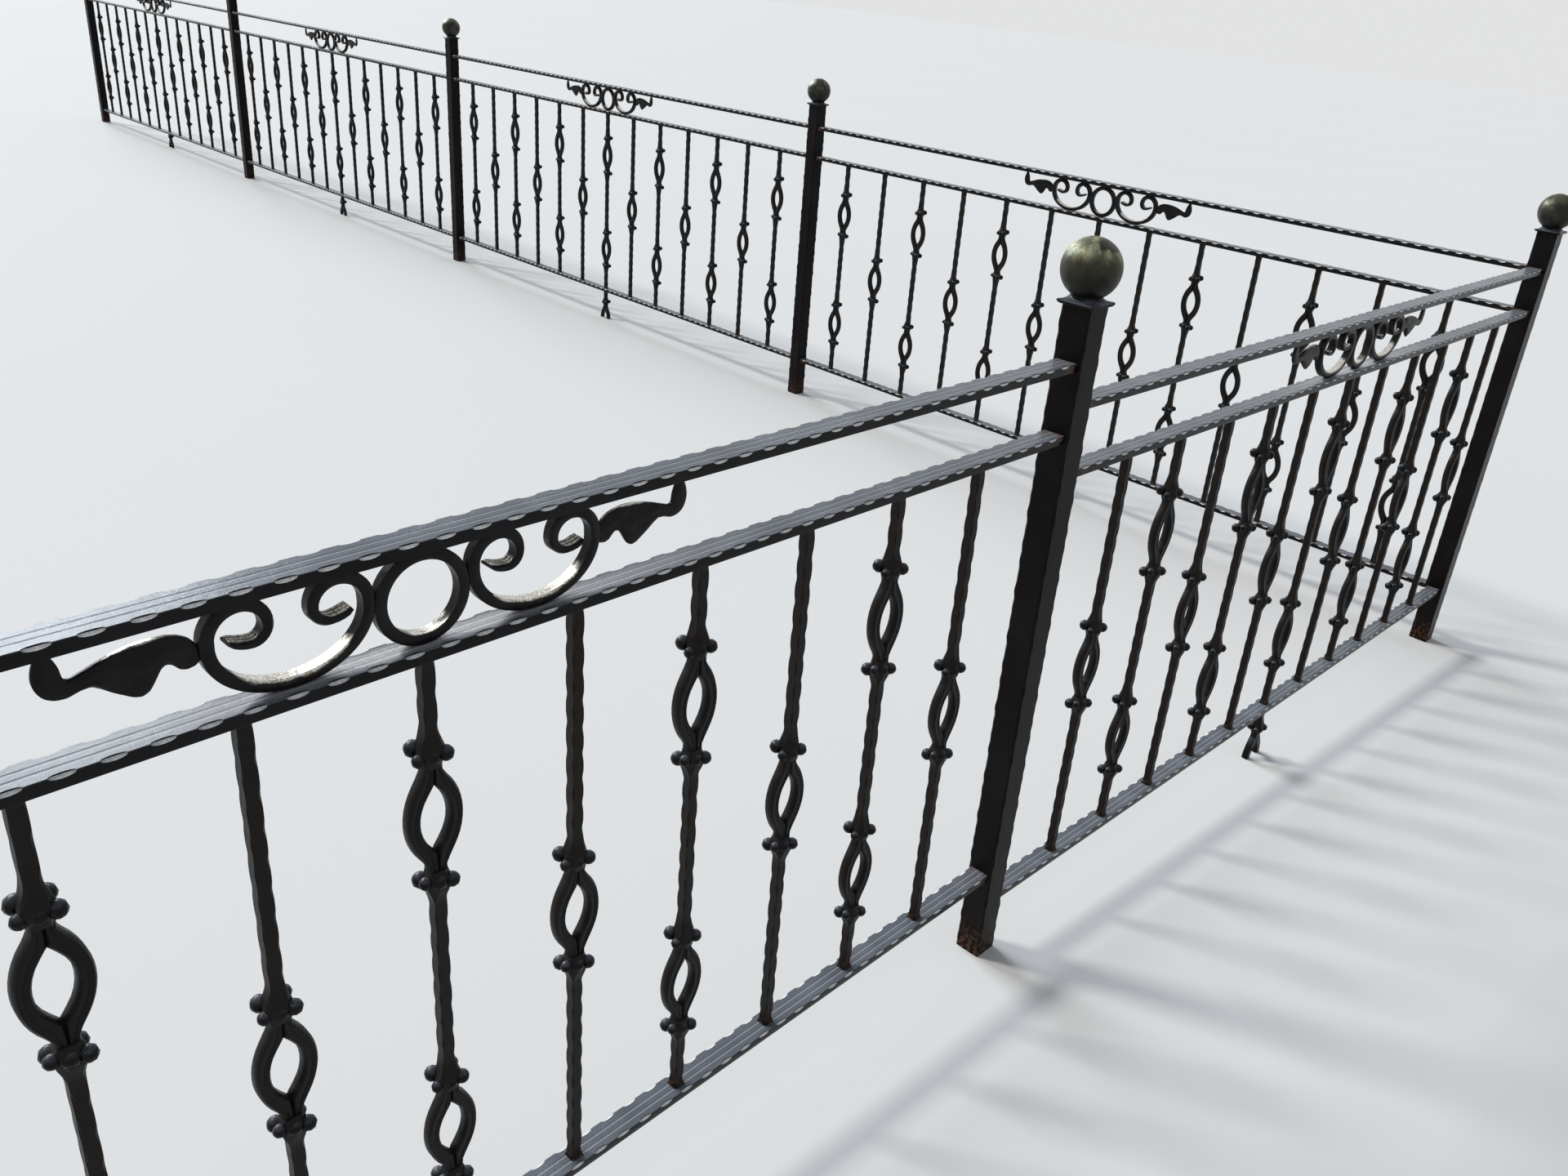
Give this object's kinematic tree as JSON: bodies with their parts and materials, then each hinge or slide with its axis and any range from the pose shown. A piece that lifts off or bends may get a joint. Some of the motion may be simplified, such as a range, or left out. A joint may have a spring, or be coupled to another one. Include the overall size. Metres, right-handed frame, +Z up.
{
  "type": "wrought iron railing",
  "caption": "Black wrought iron railing that turns a corner in stepped bays, with knotted square balusters, scrollwork under the top rail and gold ball tops on the posts.",
  "frame": {"origin": "centre of the corner post's foot, on the face that stands on the wall", "axes": "+Z up, -X along the first near bay, from whose end the near run bends 1.3 degrees outwards, +Y along the far run of four bays"},
  "size_m": [3.7255, 9.1574, 1.1815],
  "materials": {
    "post_paint": "satin black over hammered steel",
    "ball_gold": "antique gold, brushed over black",
    "rail_paint": "satin black",
    "bar_paint": "satin black over hammered bar",
    "scroll_paint": "black with gold brushed over"
  },
  "bodies": {
    "root": {"corner_post": "post_paint", "corner_ball": "ball_gold", "near_1_post": "post_paint", "near_1_ball": "ball_gold", "near_2_post": "post_paint", "near_2_ball": "ball_gold", "far_1_post": "post_paint", "far_1_ball": "ball_gold", "far_2_post": "post_paint", "far_2_ball": "ball_gold", "far_3_post": "post_paint", "far_3_ball": "ball_gold", "far_4_post": "post_paint", "far_4_ball": "ball_gold", "near_1_top_rail": "rail_paint", "near_1_middle_rail": "rail_paint", "near_1_bottom_rail": "rail_paint", "near_1_balusters": "bar_paint", "near_1_scrollwork": "scroll_paint", "near_2_top_rail": "rail_paint", "near_2_middle_rail": "rail_paint", "near_2_bottom_rail": "rail_paint", "near_2_balusters": "bar_paint", "near_2_scrollwork": "scroll_paint", "far_1_top_rail": "rail_paint", "far_1_middle_rail": "rail_paint", "far_1_bottom_rail": "rail_paint", "far_1_balusters": "bar_paint", "far_1_scrollwork": "scroll_paint", "far_2_top_rail": "rail_paint", "far_2_middle_rail": "rail_paint", "far_2_bottom_rail": "rail_paint", "far_2_balusters": "bar_paint", "far_2_scrollwork": "scroll_paint", "far_3_top_rail": "rail_paint", "far_3_middle_rail": "rail_paint", "far_3_bottom_rail": "rail_paint", "far_3_balusters": "bar_paint", "far_3_scrollwork": "scroll_paint", "far_4_top_rail": "rail_paint", "far_4_middle_rail": "rail_paint", "far_4_bottom_rail": "rail_paint", "far_4_balusters": "bar_paint", "far_4_scrollwork": "scroll_paint"}
  },
  "joints": []
}
